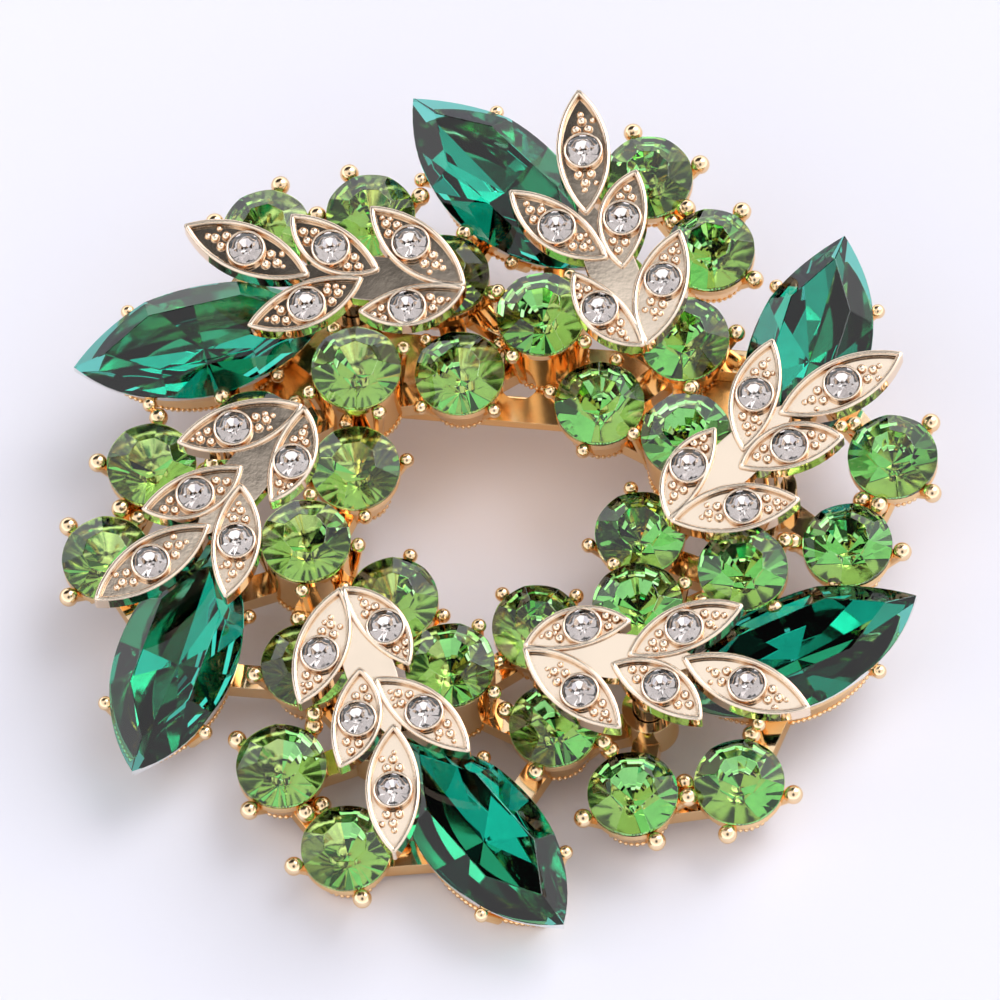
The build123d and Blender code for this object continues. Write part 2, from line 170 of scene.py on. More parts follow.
def makeGold(name, look):
    material, tree, shader = newMaterial(name)
    place = objectPlace(tree)
    # Painted shade: ambient occlusion blends the colour toward a darker, redder one in cavities, where shade
    # falls
    cavity = addNode(tree, "ShaderNodeAmbientOcclusion", Distance=look["cavityReach"])
    cavity.samples = look["cavitySamples"]
    stops = [(look["cavityStart"], look["cavity"]), (look["cavityEnd"], look["bright"])]
    tree.links.new(colourRamp(tree, cavity.outputs["AO"], stops), shader.inputs["Base Color"])
    shader.inputs["Metallic"].default_value = 1.0
    shader.inputs["Specular Tint"].default_value = (*look["grazing"], 1)
    polish = addNode(tree, "ShaderNodeMapRange")
    polish.inputs["From Min"].default_value = look["polishStart"]
    polish.inputs["From Max"].default_value = look["polishEnd"]
    polish.inputs["To Min"].default_value = look["roughnessLow"]
    polish.inputs["To Max"].default_value = look["roughnessHigh"]
    patches = noiseAt(tree, place, look["grainScale"] / look["polishCoarser"])
    tree.links.new(patches, polish.inputs["Value"])
    tree.links.new(polish.outputs["Result"], shader.inputs["Roughness"])
    soft = addNode(tree, "ShaderNodeBevel", Radius=look["edgeRadius"])
    soft.samples = look["edgeSamples"]
    wave = addNode(tree, "ShaderNodeBump", Strength=1.0, Distance=look["waveDepth"])
    tree.links.new(noiseAt(tree, place, look["waveScale"], look["waveDetail"]), wave.inputs["Height"])
    tree.links.new(soft.outputs["Normal"], wave.inputs["Normal"])
    grain = addNode(tree, "ShaderNodeBump", Strength=1.0, Distance=look["grainDepth"])
    grains = noiseAt(tree, place, look["grainScale"], look["grainDetail"])
    tree.links.new(grains, grain.inputs["Height"])
    tree.links.new(wave.outputs["Normal"], grain.inputs["Normal"])
    tree.links.new(grain.outputs["Normal"], shader.inputs["Normal"])
    return material


# The leaf sprays are paler and smoother, and the pin's bar is deeper in colour and duller
leafLook = dict(
    goldLook,
    bright=(0.91, 0.77, 0.62),
    # painted shade: a dark brown laid into the leaves' recesses by the occlusion mask
    cavity=(0.50, 0.27, 0.12),
    grazing=(1.0, 0.90, 0.80),
    cavityReach=0.0004,
    cavityEnd=0.6,
    roughnessLow=0.03,
    roughnessHigh=0.07,
    waveDepth=0.000006,
    grainDepth=0.0000004,
)
pinLook = dict(goldLook, bright=(0.98, 0.66, 0.34), roughnessLow=0.1, roughnessHigh=0.22)
giltMetal = makeGold("giltMetal", goldLook)
leafMetal = makeGold("leafMetal", leafLook)
pinMetal = makeGold("pinMetal", pinLook)

# Foil-backed glass: clear tinted glass above, a tinted mirror on the facets below
glassLooks = dict(
    peridot=dict(glass=(0.49, 0.92, 0.43), foil=(0.61, 0.82, 0.54), ior=1.56),
    emerald=dict(glass=(0.02, 0.44, 0.33), foil=(0.26, 0.66, 0.58), ior=1.5),
    crystal=dict(glass=(0.98, 0.96, 0.95), foil=(0.79, 0.755, 0.74), ior=1.6),
)
# Slow clouds from a deeper to a paler colour in the glass and in its foil, as shares of their own colour
cloudLook = dict(
    glassScale=380.0,
    glassDeep=0.95,
    glassPale=1.03,
    foilScale=900.0,
    foilDeep=0.9,
    deepAt=0.35,
    paleAt=0.65,
    foilRoughness=0.02,
)
edgeFoil = dict(foil=(0.86, 0.87, 0.85))  # the bright rim that the large stones show all round


def makeGlass(name, look):
    material, tree, shader = newMaterial(name + "Glass")
    smear = noiseAt(tree, objectPlace(tree), cloudLook["glassScale"])
    pale = tuple(min(1.0, v * cloudLook["glassPale"]) for v in look["glass"])
    deep = tuple(v * cloudLook["glassDeep"] for v in look["glass"])
    stops = [(cloudLook["deepAt"], deep), (cloudLook["paleAt"], pale)]
    tree.links.new(colourRamp(tree, smear, stops), shader.inputs["Base Color"])
    shader.inputs["Roughness"].default_value = 0.0
    shader.inputs["IOR"].default_value = look["ior"]
    shader.inputs["Transmission Weight"].default_value = 1.0
    return material


def makeFoil(name, look):
    material, tree, shader = newMaterial(name + "Foil")
    cloud = noiseAt(tree, objectPlace(tree), cloudLook["foilScale"])
    deep = tuple(v * cloudLook["foilDeep"] for v in look["foil"])
    stops = [(cloudLook["deepAt"], deep), (cloudLook["paleAt"], look["foil"])]
    tree.links.new(colourRamp(tree, cloud, stops), shader.inputs["Base Color"])
    shader.inputs["Metallic"].default_value = 1.0
    shader.inputs["Roughness"].default_value = cloudLook["foilRoughness"]
    return material


stoneMaterials = {name: [makeGlass(name, look), makeFoil(name, look)] for name, look in glassLooks.items()}
stoneMaterials["emerald"].append(makeFoil("emeraldEdge", edgeFoil))
print("materials made")

# Layout of the wreath, the same as the solids'. Reaches are shares of the wreath's radius, and bearings are
# those of the first group. Each next group lies groupTurn degrees further on, clockwise.
layout = dict(
    radius=22.5, groupTurn=60, domeDrop=0.86, tallRise=1.81, sprayRise=4.92, sprayLength=16.8, backLevel=-3.54
)
roundRows = [
    dict(role="a", reach=0.999, bearing=59.4, level=-1.00, tall=0, foot=0.72),
    dict(role="b", reach=0.889, bearing=44.2, level=-0.50, tall=0, foot=0.72),
    dict(role="c", reach=0.651, bearing=34.4, level=0.20, tall=0, foot=0.70),
    dict(role="d", reach=0.373, bearing=37.4, level=0.00, tall=0, foot=0.70),
    dict(role="e", reach=0.497, bearing=68.5, level=0.00, tall=1, foot=0.90),
]
navetteRow = dict(reach=0.894, bearing=80.2, level=-0.37, axis=125.6)
sprayRow = dict(reach=0.504, bearing=31.6, yaw=95.5)
# How each group differs from the first: n is its pointed stone and s its leaf spray
groupRows = [
    dict(
        turn=0.0, swell=-0.006, nBearing=1.0, nReach=-0.003, nAxis=0.4,
        sBearing=0.1, sReach=0.004, sYaw=0.0,
    ),
    dict(
        turn=-0.9, swell=0.012, nBearing=-1.7, nReach=-0.008, nAxis=0.0,
        sBearing=0.3, sReach=-0.024, sYaw=-6.0,
    ),
    dict(
        turn=0.9, swell=-0.010, nBearing=2.2, nReach=-0.021, nAxis=10.9,
        sBearing=-0.4, sReach=0.009, sYaw=2.4,
    ),
    dict(
        turn=0.6, swell=0.010, nBearing=-0.3, nReach=0.021, nAxis=-5.4,
        sBearing=1.4, sReach=0.0, sYaw=-2.6,
    ),
    dict(
        turn=-0.4, swell=0.004, nBearing=-1.2, nReach=0.016, nAxis=-2.3,
        sBearing=0.1, sReach=0.008, sYaw=1.9,
    ),
    dict(
        turn=-0.2, swell=-0.010, nBearing=0.1, nReach=-0.004, nAxis=-0.8,
        sBearing=-1.7, sReach=0.003, sYaw=1.9,
    ),
]


# The stones sit a degree or so off level. leans has each pointed stone's lean toward the bearing given.
# Every round stone leans by rounds degrees, and the bearing steps on by step degrees from one to the next.
stoneLean = dict(bearing=120, leans=(-0.7, 0.0, 1.7, 1.4, -0.9, -1.0), rounds=1.8, step=137.5)


def leaned(place, bearing, degrees):
    centre = Matrix.Translation(place.translation)
    axis = Vector((-sin(radians(bearing)), cos(radians(bearing)), 0))
    return centre @ Matrix.Rotation(radians(degrees), 4, axis) @ centre.inverted() @ place


def standAt(reach, bearing, height, heading):
    along = radians(bearing)
    centre = Matrix.Translation((reach * cos(along), reach * sin(along), height))
    return centre @ Matrix.Rotation(radians(heading), 4, "Z")


def roundPlace(group, row):
    shift = groupRows[group]
    bearing = lie["turn"] + row["bearing"] - layout["groupTurn"] * group + shift["turn"]
    reach = layout["radius"] * row["reach"] * (1 + shift["swell"])
    height = layout["domeDrop"] * row["level"] + layout["tallRise"] * row["tall"]
    return standAt(reach, bearing, height, bearing)


def navettePlace(group):
    shift = groupRows[group]
    bearing = lie["turn"] + navetteRow["bearing"] - layout["groupTurn"] * group + shift["nBearing"]
    reach = layout["radius"] * (navetteRow["reach"] + shift["nReach"])
    axis = lie["turn"] + navetteRow["axis"] - layout["groupTurn"] * group + shift["nAxis"]
    return standAt(reach, bearing, layout["domeDrop"] * navetteRow["level"], axis)


def sprayPlace(group):
    shift = groupRows[group]
    bearing = lie["turn"] + sprayRow["bearing"] - layout["groupTurn"] * group + shift["sBearing"]
    reach = layout["radius"] * (sprayRow["reach"] + shift["sReach"])
    yaw = lie["turn"] + sprayRow["yaw"] - layout["groupTurn"] * group + shift["sYaw"]
    return standAt(reach, bearing, layout["sprayRise"], yaw)


def addPiece(name, mesh, materials, replaced=()):
    mesh.name = name
    for material in materials:
        mesh.materials.append(material)
    piece = bpy.data.objects.new(name, mesh)
    scene.collection.objects.link(piece)
    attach(piece, "root")
    if replaced:
        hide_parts(*replaced)
    return piece


# Cut stones: a blank with the girdle's outline, deeper than the stone by spare, is cut by flat facets
blankLook = dict(spare=0.2, cutWithin=1e-6, mergeWithin=0.002)


def cutBlank(outline, high, low, planes):
    bm = bmesh.new()
    upper = [bm.verts.new((x, y, high)) for x, y in outline]
    lower = [bm.verts.new((x, y, low)) for x, y in outline]
    bm.faces.new(upper)
    bm.faces.new(lower[::-1])
    for i in range(len(outline)):
        j = (i + 1) % len(outline)
        bm.faces.new((upper[i], lower[i], lower[j], upper[j]))
    for point, normal in planes:
        whole = bm.verts[:] + bm.edges[:] + bm.faces[:]
        cut = bmesh.ops.bisect_plane(
            bm, geom=whole, plane_co=point, plane_no=normal, clear_outer=True, dist=blankLook["cutWithin"]
        )
        rim = [e for e in cut["geom_cut"] if isinstance(e, bmesh.types.BMEdge)]
        if len(rim) > 2:
            bmesh.ops.edgeloop_fill(bm, edges=rim)
    bmesh.ops.remove_doubles(bm, verts=bm.verts[:], dist=blankLook["mergeWithin"])
    bmesh.ops.recalc_face_normals(bm, faces=bm.faces[:])
    return bm


def facetPlane(reach, bearing, height, slope, side):
    outward = Vector((cos(bearing), sin(bearing), 0))
    point = outward * reach + Vector((0, 0, height * side))
    normal = outward * sin(slope) + Vector((0, 0, side * cos(slope)))
    return point, normal


# Facet edges sharper than sharpAngle (radians) are taken off above the girdle. Faces whose normals point
# down past foilBelow are foil. navetteMaterial is the bright rim's place among the large stones' materials.
stoneEdge = dict(sharpAngle=0.12, foilBelow=-0.2, girdleSlope=0.1, navetteMaterial=2)


def dressStone(bm, place, edgeWidth, edgeMaterial=0):
    def isSharp(edge):
        angle = edge.calc_face_angle(0) if len(edge.link_faces) == 2 else 0
        return angle > stoneEdge["sharpAngle"] and min(v.co.z for v in edge.verts) > 0
    sharp = [edge for edge in bm.edges if isSharp(edge)]
    bmesh.ops.bevel(bm, geom=sharp, offset=edgeWidth, segments=1, affect="EDGES", profile=0.5)
    for face in bm.faces:
        face.material_index = 1 if face.normal.z < stoneEdge["foilBelow"] else 0
        if edgeMaterial and abs(face.normal.z) < stoneEdge["girdleSlope"]:
            face.material_index = edgeMaterial
        face.smooth = False
    bm.transform(toRow @ place)
    mesh = bpy.data.meshes.new("stone")
    bm.to_mesh(mesh)
    bm.free()
    return mesh


roundCut = dict(
    diameter=5.15, crown=0.92, pavilion=2.15, table=0.5, girdle=0.16, crownFacets=8, pavilionFacets=16,
    blankSides=64, edge=0.02
)


def roundBlank(cut):
    radius = cut["diameter"] / 2
    half = cut["girdle"] / 2
    sides = cut["blankSides"]
    turns = [2 * pi * i / sides for i in range(sides)]
    outline = [(radius * cos(turn), radius * sin(turn)) for turn in turns]
    crownSlope = atan2(cut["crown"], radius * (1 - cut["table"] * cos(pi / cut["crownFacets"])))
    pavilionSlope = atan2(cut["pavilion"], radius)
    planes = []
    for i in range(cut["crownFacets"]):
        planes.append(facetPlane(radius, 2 * pi * (i + 0.5) / cut["crownFacets"], half, crownSlope, 1))
    for i in range(cut["pavilionFacets"]):
        planes.append(facetPlane(radius, 2 * pi * i / cut["pavilionFacets"], half, pavilionSlope, -1))
    return cutBlank(outline, half + cut["crown"], -half - cut["pavilion"] - blankLook["spare"], planes)


def makeRoundStones():
    for group in range(len(groupRows)):
        for i, row in enumerate(roundRows):
            number = f"{group + 1}_{row['role']}"
            count = group * len(roundRows) + i
            place = leaned(roundPlace(group, row), count * stoneLean["step"], stoneLean["rounds"])
            mesh = dressStone(roundBlank(roundCut), place, roundCut["edge"])
            replaced = ["peridot_" + number]
            addPiece("peridotStone_" + number, mesh, stoneMaterials["peridot"], replaced)


makeRoundStones()
print("round stones cut")

# Pointed stones: crownSlopes lists a share of the half arc and a slope in degrees for each pair of facets.
# The facets below start at the given shares and all meet in one point under the middle.
navetteCut = dict(
    length=15.1, width=6.96, crown=1.25, pavilion=2.3, girdle=0.16, blankSides=48, edge=0.03,
    crownSlopes=((0.0, 36), (0.62, 40)), pavilionShares=(0.15, 0.5, 0.85)
)


def navetteBlank(cut):
    halfLength = cut["length"] / 2
    halfWidth = cut["width"] / 2
    half = cut["girdle"] / 2
    arc = (halfLength ** 2 + halfWidth ** 2) / (2 * halfWidth)
    reach = atan2(halfLength, arc - halfWidth)
    steps = cut["blankSides"] // 2
    outline = []
    for side in (1, -1):
        for i in range(steps):
            turn = side * pi / 2 + reach * (1 - 2 * i / steps)
            outline.append((arc * cos(turn), arc * sin(turn) - side * (arc - halfWidth)))
    outline.sort(key=lambda p: atan2(p[1], p[0]))
    facets = [(share, radians(slope), 1) for share, slope in cut["crownSlopes"]]
    for share in cut["pavilionShares"]:
        inward = arc - (arc - halfWidth) * cos(reach * share)
        facets.append((share, atan2(cut["pavilion"], inward), -1))
    planes = []
    for across in (1, -1):
        for share, slope, lift in facets:
            for along in ((1, -1) if share else (1,)):
                bearing = across * (pi / 2 - reach * share * along)
                outward = Vector((cos(bearing), sin(bearing), 0))
                rim = Vector((0, -across * (arc - halfWidth), lift * half)) + outward * arc
                planes.append((rim, outward * sin(slope) + Vector((0, 0, lift * cos(slope)))))
    return cutBlank(outline, half + cut["crown"], -half - cut["pavilion"] - blankLook["spare"], planes)


def makeNavetteStones():
    for group in range(len(groupRows)):
        number = str(group + 1)
        blank = navetteBlank(navetteCut)
        place = leaned(navettePlace(group), stoneLean["bearing"], stoneLean["leans"][group])
        mesh = dressStone(blank, place, navetteCut["edge"], stoneEdge["navetteMaterial"])
        replaced = ["emerald_" + number]
        addPiece("emeraldStone_" + number, mesh, stoneMaterials["emerald"], replaced)


makeNavetteStones()
print("pointed stones cut")

# Leaves of a spray, the undermost first, and the small stone of each. base and tip are shares of the spray's
# length, left and right shares of the leaf's width, and set is the stone's place along the leaf.
crystalCut = dict(
    diameter=1.9, crown=0.34, pavilion=0.72, table=0.5, girdle=0.08, crownFacets=8, pavilionFacets=8,
    blankSides=48, edge=0.012
)
leafRows = [
    dict(base=(0.526, 0.086), tip=(0.999, 0.0), left=0.48, right=0.52, set=0.51),
    dict(base=(0.347, 0.048), tip=(0.688, 0.319), left=0.52, right=0.39, set=0.50),
    dict(base=(0.299, 0.011), tip=(0.652, -0.124), left=0.60, right=0.31, set=0.50),
    dict(base=(-0.004, 0.002), tip=(0.335, 0.177), left=0.55, right=0.27, set=0.56),
    dict(base=(-0.004, 0.002), tip=(0.396, -0.215), left=0.53, right=0.44, set=0.56),
]
leafSize = dict(width=3.1, lip=0.05, recess=0.28, bezel=1.13, beadNear=1.1, beadFar=3.2, beadAside=1.35)


def leafFrame(row):
    base = Vector(row["base"]) * layout["sprayLength"]
    tip = Vector(row["tip"]) * layout["sprayLength"]
    run = tip - base
    return Matrix.Translation((base.x, base.y, 0)) @ Matrix.Rotation(atan2(run.y, run.x), 4, "Z"), run.length


def crystalPlace(row):
    place, length = leafFrame(row)
    aside = (row["left"] - row["right"]) * leafSize["width"] / 2
    return place @ Matrix.Translation((row["set"] * length, aside, leafSize["lip"]))


def makeCrystals():
    for group in range(len(groupRows)):
        whole = bmesh.new()
        for row in leafRows:
            place = sprayPlace(group) @ crystalPlace(row)
            part = dressStone(roundBlank(crystalCut), place, crystalCut["edge"])
            whole.from_mesh(part)
            bpy.data.meshes.remove(part)
        mesh = bpy.data.meshes.new("crystals")
        whole.to_mesh(mesh)
        whole.free()
        number = str(group + 1)
        replaced = ["crystals_" + number]
        addPiece("crystalStones_" + number, mesh, stoneMaterials["crystal"], replaced)


makeCrystals()
print("small stones cut")

# Rounded rims of the leaves and bezels: flattened tubes laid on the metal. A rim is broken where a later leaf
# covers it by more than coveredBy.
wireLook = dict(
    rimInset=0.14, rimHalf=0.13, rimHigh=0.09, coveredBy=0.05, bezelHalf=0.075, bezelHigh=0.09, bezelSteps=28,
    sides=8, step=0.2
)


def leafArcs(row, length):
    half = length / 2
    arcs = []
    for side, bulge in ((1, row["left"] * leafSize["width"]), (-1, row["right"] * leafSize["width"])):
        arc = (half ** 2 + bulge ** 2) / (2 * bulge)
        arcs.append((side, arc, Vector((half, side * (bulge - arc)))))
    return arcs


def insideLeaf(row, point, inset):
    place, length = leafFrame(row)
    local = place.inverted() @ point
    flat = Vector((local.x, local.y))
    return all((flat - centre).length <= arc - inset for side, arc, centre in leafArcs(row, length))


def leafOutline(row, inset):
    place, length = leafFrame(row)
    (a, arcA, centreA), (b, arcB, centreB) = leafArcs(row, length)
    reachA = arcA - inset
    reachB = arcB - inset
    apart = centreB.y - centreA.y
    cornerY = centreA.y + (reachA ** 2 - reachB ** 2 + apart ** 2) / (2 * apart)
    cornerX = sqrt(reachA ** 2 - (cornerY - centreA.y) ** 2)
    points = []
    for side, reach, centre in ((a, reachA, centreA), (b, reachB, centreB)):
        span = atan2(cornerX, side * (cornerY - centre.y))
        steps = ceil(2 * span * reach / wireLook["step"])
        for i in range(steps):
            turn = side * (span - 2 * span * i / steps)
            x = centre.x - reach * sin(turn)
            y = centre.y + side * reach * cos(turn)
            points.append(place @ Vector((x, y, 0)))
    return points


def tube(bm, points, closed, halfWidth, high, matrix):
    sides = wireLook["sides"]
    count = len(points)
    rings = []
    for i, point in enumerate(points):
        before = points[i - 1] if closed or i else point
        after = points[(i + 1) % count] if closed or i < count - 1 else point
        run = (after - before).normalized()
        across = Vector((-run.y, run.x, 0))
        ring = []
        for k in range(sides):
            turn = 2 * pi * k / sides
            spot = point + across * halfWidth * cos(turn) + Vector((0, 0, high * sin(turn)))
            ring.append(bm.verts.new(matrix @ spot))
        rings.append(ring)
    for i in range(count if closed else count - 1):
        here, there = rings[i], rings[(i + 1) % count]
        for k in range(sides):
            face = bm.faces.new((here[k], there[k], there[(k + 1) % sides], here[(k + 1) % sides]))
            face.smooth = True
    if not closed:
        bm.faces.new(rings[0])
        bm.faces.new(rings[-1][::-1])


def openRuns(points, keep):
    runs = [[]]
    for point, kept in zip(points, keep):
        if kept:
            runs[-1].append(point)
        elif runs[-1]:
            runs.append([])
    if len(runs) > 1 and keep[0] and keep[-1]:
        runs[0] = runs.pop() + runs[0]
    return [run for run in runs if len(run) > 2]


def makeWires():
    for group in range(len(groupRows)):
        bm = bmesh.new()
        matrix = toRow @ sprayPlace(group)
        for i, row in enumerate(leafRows):
            points = leafOutline(row, wireLook["rimInset"])
            margin = wireLook["coveredBy"]
            keep = [not any(insideLeaf(over, p, margin) for over in leafRows[i + 1:]) for p in points]
            if all(keep):
                tube(bm, points, True, wireLook["rimHalf"], wireLook["rimHigh"], matrix)
            else:
                for run in openRuns(points, keep):
                    tube(bm, run, False, wireLook["rimHalf"], wireLook["rimHigh"], matrix)
            middle = crystalPlace(row)
            reach = leafSize["bezel"] - wireLook["bezelHalf"]
            turns = [2 * pi * k / wireLook["bezelSteps"] for k in range(wireLook["bezelSteps"])]
            ring = [middle @ Vector((reach * cos(turn), reach * sin(turn), 0)) for turn in turns]
            tube(bm, ring, True, wireLook["bezelHalf"], wireLook["bezelHigh"], matrix)
        bmesh.ops.recalc_face_normals(bm, faces=bm.faces[:])
        mesh = bpy.data.meshes.new("wires")
        bm.to_mesh(mesh)
        bm.free()
        addPiece("leafRims_" + str(group + 1), mesh, [leafMetal])


makeWires()
print("leaf rims laid")

# Small balls scattered on given points: prong balls, the beaded feet of the cups and the grain of the leaves

def makeBeadTree():
    tree = bpy.data.node_groups.new("beadScatter", "GeometryNodeTree")
    sockets = [
        ("Geometry", "Geometry"),
        ("Radius", "Float"),
        ("Variation", "Float"),
        ("Segments", "Int"),
        ("Rings", "Int"),
        ("Seed", "Int"),
        ("Material", "Material"),
    ]
    for name, kind in sockets:
        tree.interface.new_socket(name, in_out="INPUT", socket_type="NodeSocket" + kind)
    tree.interface.new_socket("Geometry", in_out="OUTPUT", socket_type="NodeSocketGeometry")
    nodes = tree.nodes
    link = tree.links.new
    given = nodes.new("NodeGroupInput")
    ball = nodes.new("GeometryNodeMeshUVSphere")
    link(given.outputs["Segments"], ball.inputs["Segments"])
    link(given.outputs["Rings"], ball.inputs["Rings"])
    link(given.outputs["Radius"], ball.inputs["Radius"])
    smooth = nodes.new("GeometryNodeSetShadeSmooth")
    link(ball.outputs["Mesh"], smooth.inputs[0])
    size = nodes.new("GeometryNodeInputNamedAttribute")
    size.data_type = "FLOAT"
    size.inputs["Name"].default_value = "size"
    least = nodes.new("ShaderNodeMath")
    least.operation = "SUBTRACT"
    least.inputs[0].default_value = 1.0
    link(given.outputs["Variation"], least.inputs[1])
    chance = nodes.new("FunctionNodeRandomValue")
    chance.data_type = "FLOAT"
    link(least.outputs[0], chance.inputs[2])
    chance.inputs[3].default_value = 1.0
    link(given.outputs["Seed"], chance.inputs["Seed"])
    scale = nodes.new("ShaderNodeMath")
    scale.operation = "MULTIPLY"
    link(size.outputs["Attribute"], scale.inputs[0])
    link(chance.outputs[1], scale.inputs[1])
    spread = nodes.new("GeometryNodeInstanceOnPoints")
    link(given.outputs["Geometry"], spread.inputs["Points"])
    link(smooth.outputs[0], spread.inputs["Instance"])
    link(scale.outputs[0], spread.inputs["Scale"])
    real = nodes.new("GeometryNodeRealizeInstances")
    link(spread.outputs["Instances"], real.inputs[0])
    dress = nodes.new("GeometryNodeSetMaterial")
    link(real.outputs[0], dress.inputs["Geometry"])
    link(given.outputs["Material"], dress.inputs["Material"])
    result = nodes.new("NodeGroupOutput")
    link(dress.outputs[0], result.inputs[0])
    return tree


beadTree = makeBeadTree()


def scatter(name, points, look, metal):
    base = bpy.data.meshes.new(name + "Points")
    base.from_pydata([tuple(point) for point, size in points], [], [])
    sizes = base.attributes.new("size", "FLOAT", "POINT")
    sizes.data.foreach_set("value", [size for point, size in points])
    holder = bpy.data.objects.new(name + "Points", base)
    scene.collection.objects.link(holder)
    modifier = holder.modifiers.new("beads", "NODES")
    modifier.node_group = beadTree
    values = dict(
        Radius=look["radius"],
        Variation=look["variation"],
        Segments=look["segments"],
        Rings=look["rings"],
        Seed=look["seed"],
        Material=metal,
    )
    for item in beadTree.interface.items_tree:
        if item.in_out == "INPUT" and item.name in values:
            modifier[item.identifier] = values[item.name]
    graph = bpy.context.evaluated_depsgraph_get()
    mesh = bpy.data.meshes.new_from_object(holder.evaluated_get(graph), depsgraph=graph)
    bpy.data.objects.remove(holder)
    mesh.transform(toRow)
    mesh.materials.clear()
    addPiece(name, mesh, [metal])


# Prongs of each round stone: the ball's size and how far out it sits, as shares of ballLook's radius, and
# bearings from the cup's own outward line
prongRows = dict(
    a=dict(ball=1.00, spread=1.00, bearings=(39, 129, 229, 309)),
    b=dict(ball=1.00, spread=1.00, bearings=(2, 64, 182, 272)),
    c=dict(ball=0.94, spread=0.76, bearings=(56, 146, 236, 326)),
    d=dict(ball=0.78, spread=0.76, bearings=(26, 116, 206, 296)),
    e=dict(ball=0.78, spread=0.76, bearings=(70, 160, 250, 340)),
)
ballLook = dict(
    radius=0.55, sink=0.3, navette=0.42, navettePlace=0.5, neck=0.7, variation=0.0, segments=20, rings=8,
    seed=1
)


def makeBalls():
    points = []
    for group in range(len(groupRows)):
        for row in roundRows:
            prongs = prongRows[row["role"]]
            reach = roundCut["diameter"] / 2 + ballLook["radius"] * prongs["spread"]
            for bearing in prongs["bearings"]:
                along = radians(bearing)
                offset = Vector((reach * cos(along), reach * sin(along), -ballLook["sink"]))
                points.append((roundPlace(group, row) @ offset, prongs["ball"]))
        halfLength, halfWidth = navetteCut["length"] / 2, navetteCut["width"] / 2
        arc = (halfLength ** 2 + halfWidth ** 2) / (2 * halfWidth)
        along = ballLook["navettePlace"] * halfLength
        aside = sqrt(arc ** 2 - along ** 2) - (arc - halfWidth) + ballLook["navette"] * ballLook["neck"]
        for end in (-1, 1):
            for side in (-1, 1):
                spot = navettePlace(group) @ Vector((end * along, side * aside, -ballLook["sink"]))
                points.append((spot, ballLook["navette"] / ballLook["radius"]))
    scatter("prongBalls", points, ballLook, giltMetal)


makeBalls()
# A row of tiny beads round the foot of every cup
laceLook = dict(
    radius=0.2, pitch=0.32, rise=0.2, navetteShare=0.84, navetteInset=0.7, variation=0.2, segments=8, rings=5,
    seed=7
)


def makeLace():
    points = []
    for group in range(len(groupRows)):
        for row in roundRows:
            place = roundPlace(group, row)
            reach = roundCut["diameter"] / 2 * row["foot"]
            count = round(2 * pi * reach / laceLook["pitch"])
            for i in range(count):
                turn = 2 * pi * i / count
                spot = place @ Vector((reach * cos(turn), reach * sin(turn), 0))
                points.append((Vector((spot.x, spot.y, layout["backLevel"] + laceLook["rise"])), 1.0))
        halfLength = navetteCut["length"] * laceLook["navetteShare"] / 2
        halfWidth = navetteCut["width"] / 2
        arc = (halfLength ** 2 + halfWidth ** 2) / (2 * halfWidth)
        reach = arc - laceLook["navetteInset"]
        low = arc - halfWidth
        span = atan2(sqrt(reach ** 2 - low ** 2), low)
        count = round(2 * span * reach / laceLook["pitch"])
        for side in (-1, 1):
            for i in range(count):
                turn = span * (1 - 2 * i / count)
                spot = navettePlace(group) @ Vector((reach * sin(turn), side * (reach * cos(turn) - low), 0))
                points.append((Vector((spot.x, spot.y, layout["backLevel"] + laceLook["rise"])), 1.0))
    scatter("footLace", points, laceLook, giltMetal)


makeLace()
# Small grains on a three-way grid round the six beads of a leaf's field. near and far are along the leaf from
# its stone, clear is kept from the leaf's outline and apart from the beads. One place in skip stays empty.
grainLook = dict(
    radius=0.21, pitch=0.46, rowShare=sqrt(0.75), rowsAlong=7, rowsAcross=5, clear=0.5, near=1.3, far=2.75,
    skip=4, lift=0.02, bead=0.26, apart=0.33, variation=0.35, segments=8, rings=4, seed=11
)


def leafBeads(row):
    size = grainLook["bead"]
    near = leafSize["bezel"] + size * leafSize["beadNear"]
    far = leafSize["bezel"] + size * leafSize["beadFar"]
    rows = ((near, 1), (near, -1), (far, 0), (-near, 1), (-near, -1), (-far, 0))
    aside = size * leafSize["beadAside"]
    return [crystalPlace(row) @ Vector((along, side * aside, 0)) for along, side in rows]


def leafGrains(i):
    row = leafRows[i]
    place, length = leafFrame(row)
    middle = row["set"] * length
    beads = leafBeads(row)
    pitch = grainLook["pitch"]
    spots = []
    for a in range(-grainLook["rowsAlong"], grainLook["rowsAlong"] + 1):
        for b in range(-grainLook["rowsAcross"], grainLook["rowsAcross"] + 1):
            along = a * pitch * grainLook["rowShare"]
            across = (b + (a % 2) / 2) * pitch
            spot = place @ Vector((middle + along, across, 0))
            inField = grainLook["near"] < abs(along) < grainLook["far"]
            if not inField or (a + 2 * b + i) % grainLook["skip"] == 0:
                continue
            covered = any(insideLeaf(over, spot, 0) for over in leafRows[i + 1:])
            if covered or not insideLeaf(row, spot, grainLook["clear"]):
                continue
            if min((spot.xy - bead.xy).length for bead in beads) > grainLook["apart"]:
                spots.append(Vector((spot.x, spot.y, -leafSize["recess"] + grainLook["lift"])))
    return spots


def makeGrains():
    flat = [spot for i in range(len(leafRows)) for spot in leafGrains(i)]
    points = [(sprayPlace(group) @ spot, 1.0) for group in range(len(groupRows)) for spot in flat]
    print("grains:", len(points))
    scatter("leafGrains", points, grainLook, leafMetal)


makeGrains()
print("balls, lace and grain scattered")

# The metal of the solids that stay as they are, by the start of their names
nodeMetals = dict(wreath_frame=giltMetal, leaf_spray=leafMetal, pin_back=pinMetal)


def dressNodes():
    for name, node in cadNodes.items():
        for start, metal in nodeMetals.items():
            if name.startswith(start):
                node.data.materials.clear()
                node.data.materials.append(metal)


dressNodes()
print("solids dressed")

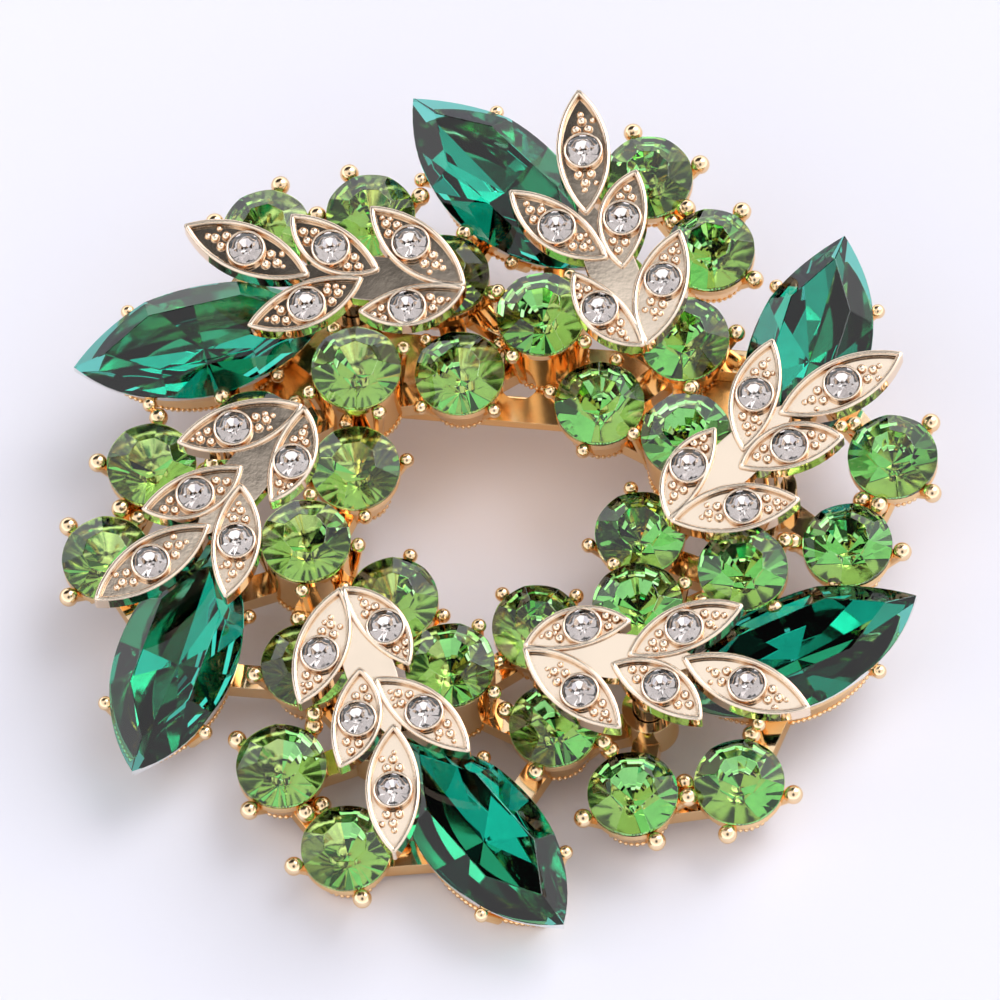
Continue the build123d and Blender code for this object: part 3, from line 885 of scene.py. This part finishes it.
# Floor and light: a pale tent over the brooch with one bright window, open at the back left and round the
# camera. The floor's size is in metres.
stageLook = dict(
    floor=(0.80, 0.795, 0.87), floorRoughness=0.7, size=3.0, tent=(0.975, 0.975, 1.0), level=1.12
)
# Each patch of the tent is round, seen from straight above: its centre and radius on a disc of radius 1, how
# soft its edge is and how bright it is. The last one lies outside its circle.
tentRows = [
    dict(centre=(0.42, 0.46), radius=0.30, soft=0.08, level=4.6, outside=False),  # window
    dict(centre=(-0.569, 0.844), radius=0.725, soft=0.003, level=0.05, outside=False),  # opening, back left
    dict(centre=(0.10, -0.52), radius=0.28, soft=0.05, level=0.08, outside=False),  # round the camera
    dict(centre=(0.0, 0.0), radius=0.93, soft=0.03, level=1.8, outside=True),  # bright band, low all round
]


def makeWorld():
    world = bpy.data.worlds.new("studio")
    scene.world = world
    world.use_nodes = True
    tree = world.node_tree
    background = tree.nodes["Background"]
    place = addNode(tree, "ShaderNodeTexCoord")
    flat = addNode(tree, "ShaderNodeVectorMath", operation="MULTIPLY")
    flat.inputs[1].default_value = (1, 1, 0)
    tree.links.new(place.outputs["Generated"], flat.inputs[0])
    level = None
    for row in tentRows:
        away = addNode(tree, "ShaderNodeVectorMath", operation="DISTANCE")
        away.inputs[1].default_value = (*row["centre"], 0)
        tree.links.new(flat.outputs["Vector"], away.inputs[0])
        edge = addNode(tree, "ShaderNodeMapRange")
        edge.inputs["From Min"].default_value = row["radius"] - row["soft"]
        edge.inputs["From Max"].default_value = row["radius"] + row["soft"]
        given, other = ("To Max", "To Min") if row["outside"] else ("To Min", "To Max")
        edge.inputs[given].default_value = row["level"]
        edge.inputs[other].default_value = stageLook["level"]
        if level:
            tree.links.new(level, edge.inputs[other])
        tree.links.new(away.outputs["Value"], edge.inputs["Value"])
        level = edge.outputs["Result"]
    tree.links.new(level, background.inputs["Strength"])
    background.inputs["Color"].default_value = (*stageLook["tent"], 1)


# The warm light that the gilt cups throw on the floor in the wreath's middle. Metres and watts.
bounceLook = dict(centre=(0.0, 0.0055, 0.0045), radius=0.0065, colour=(1.0, 0.58, 0.28), watts=0.00015)


def makeBounce():
    data = bpy.data.lights.new("gildedBounce", "AREA")
    data.shape = "DISK"
    data.size = 2 * bounceLook["radius"]
    data.energy = bounceLook["watts"]
    data.color = bounceLook["colour"]
    lamp = bpy.data.objects.new("gildedBounce", data)
    lamp.location = bounceLook["centre"]
    lamp.visible_camera = False
    lamp.visible_glossy = False
    lamp.visible_transmission = False
    scene.collection.objects.link(lamp)


def makeStage():
    bm = bmesh.new()
    bmesh.ops.create_grid(bm, x_segments=1, y_segments=1, size=stageLook["size"] / 2)
    mesh = bpy.data.meshes.new("floor")
    bm.to_mesh(mesh)
    bm.free()
    floor = bpy.data.objects.new("floor", mesh)
    scene.collection.objects.link(floor)
    material, tree, shader = newMaterial("paleFloor")
    shader.inputs["Base Color"].default_value = (*stageLook["floor"], 1)
    shader.inputs["Roughness"].default_value = stageLook["floorRoughness"]
    mesh.materials.append(material)


makeWorld()
makeBounce()
makeStage()
scene.view_settings.view_transform = "Standard"
print("stage and light set")
